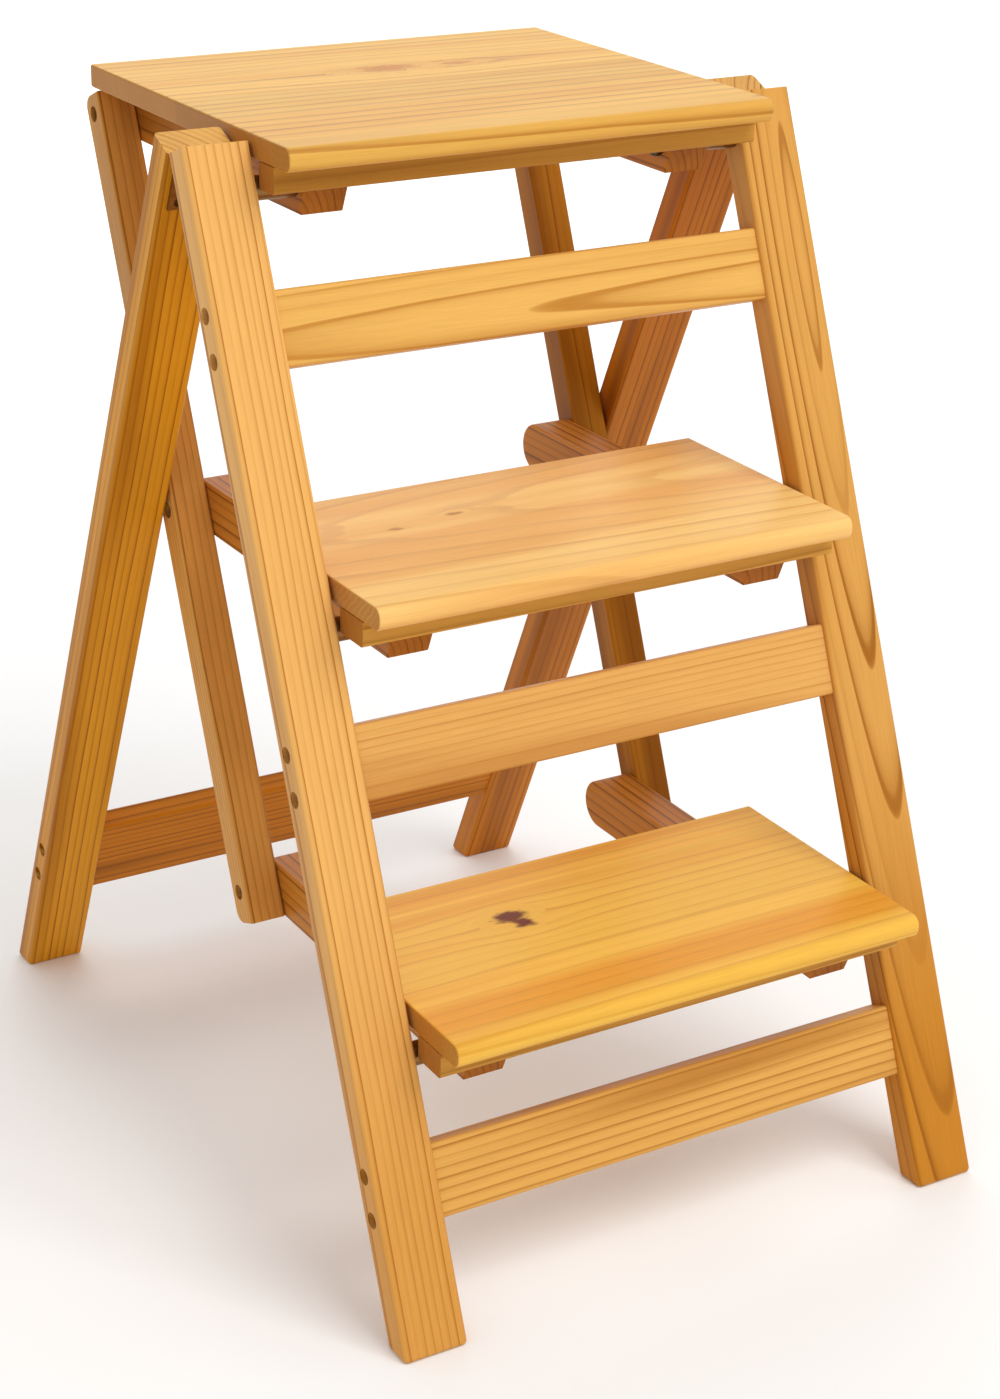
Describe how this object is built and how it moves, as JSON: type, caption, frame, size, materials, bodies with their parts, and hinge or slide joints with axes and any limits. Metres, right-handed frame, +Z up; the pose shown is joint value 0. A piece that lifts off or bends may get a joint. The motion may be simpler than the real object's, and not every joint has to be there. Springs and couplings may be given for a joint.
{
  "type": "folding step stool",
  "caption": "Folding pine step stool with splayed legs, screwed rails and bull-nosed treads that swing up together on link bars as the rear legs close.",
  "frame": {"origin": "on the floor, under the middle of the footprint", "axes": "+Z up, -Y towards the front treads, +X to the right seen from the front"},
  "size_m": [0.4, 0.5814, 0.6463],
  "materials": {
    "pine": "satin varnish",
    "bronzed_steel": "dark bronze plating"
  },
  "bodies": {
    "front_frame": {"front_leg_left": "pine", "front_leg_right": "pine", "front_rail_upper": "pine", "front_rail_middle": "pine", "front_rail_lower": "pine", "front_rail_screws": "bronzed_steel", "tread_pivot_screws": "bronzed_steel", "tread_pivot_spacers": "bronzed_steel", "hinge_leaves_front": "bronzed_steel", "hinge_screws_front": "bronzed_steel", "hinge_pins": "bronzed_steel"},
    "rear_frame": {"rear_leg_left": "pine", "rear_leg_right": "pine", "rear_rail": "pine", "rear_rail_screws": "bronzed_steel", "hinge_leaves_rear": "bronzed_steel", "hinge_screws_rear": "bronzed_steel"},
    "tread_top": {"tread_board_top": "pine", "tread_apron_top": "pine", "batten_top_left": "pine", "batten_top_right": "pine", "batten_screws_top": "bronzed_steel", "link_screws_top": "bronzed_steel"},
    "tread_middle": {"tread_board_middle": "pine", "tread_apron_middle": "pine", "batten_middle_left": "pine", "batten_middle_right": "pine", "batten_screws_middle": "bronzed_steel", "link_screws_middle": "bronzed_steel"},
    "tread_bottom": {"tread_board_bottom": "pine", "tread_apron_bottom": "pine", "batten_bottom_left": "pine", "batten_bottom_right": "pine", "batten_screws_bottom": "bronzed_steel", "link_screws_bottom": "bronzed_steel"},
    "link_bar_left": {"link_bar_left": "pine", "catch_pin_left": "bronzed_steel"},
    "link_bar_right": {"link_bar_right": "pine", "catch_pin_right": "bronzed_steel"}
  },
  "joints": [
    {"name": "rear_frame_hinge", "type": "hinge", "parent": "front_frame", "child": "rear_frame", "pos_m": [0, -0.03868, 0.61701], "axis": [-1, 0, 0], "range_deg": [0, 46]},
    {"name": "tread_top_pivot", "type": "hinge", "parent": "front_frame", "child": "tread_top", "pos_m": [0, -0.05724, 0.60848], "axis": [1, 0, 0], "range_deg": [0, 55.2]},
    {"name": "tread_middle_pivot", "type": "hinge", "parent": "front_frame", "child": "tread_middle", "pos_m": [0, -0.14186, 0.37848], "axis": [1, 0, 0], "range_deg": [0, 55.2]},
    {"name": "tread_bottom_pivot", "type": "hinge", "parent": "front_frame", "child": "tread_bottom", "pos_m": [0, -0.22501, 0.15248], "axis": [1, 0, 0], "range_deg": [0, 55.2]},
    {"name": "link_bar_left_pivot", "type": "hinge", "parent": "tread_middle", "child": "link_bar_left", "pos_m": [0, 0.081, 0.38626], "axis": [-1, 0, 0], "range_deg": [0, 55.2]},
    {"name": "link_bar_right_pivot", "type": "hinge", "parent": "tread_middle", "child": "link_bar_right", "pos_m": [0, 0.081, 0.38626], "axis": [-1, 0, 0], "range_deg": [0, 55.2]}
  ],
  "couplings": [
    {"joint": "tread_top_pivot", "follows": "rear_frame_hinge", "ratio": 1.2},
    {"joint": "tread_middle_pivot", "follows": "rear_frame_hinge", "ratio": 1.2},
    {"joint": "tread_bottom_pivot", "follows": "rear_frame_hinge", "ratio": 1.2},
    {"joint": "link_bar_left_pivot", "follows": "rear_frame_hinge", "ratio": 1.2},
    {"joint": "link_bar_right_pivot", "follows": "rear_frame_hinge", "ratio": 1.2}
  ]
}
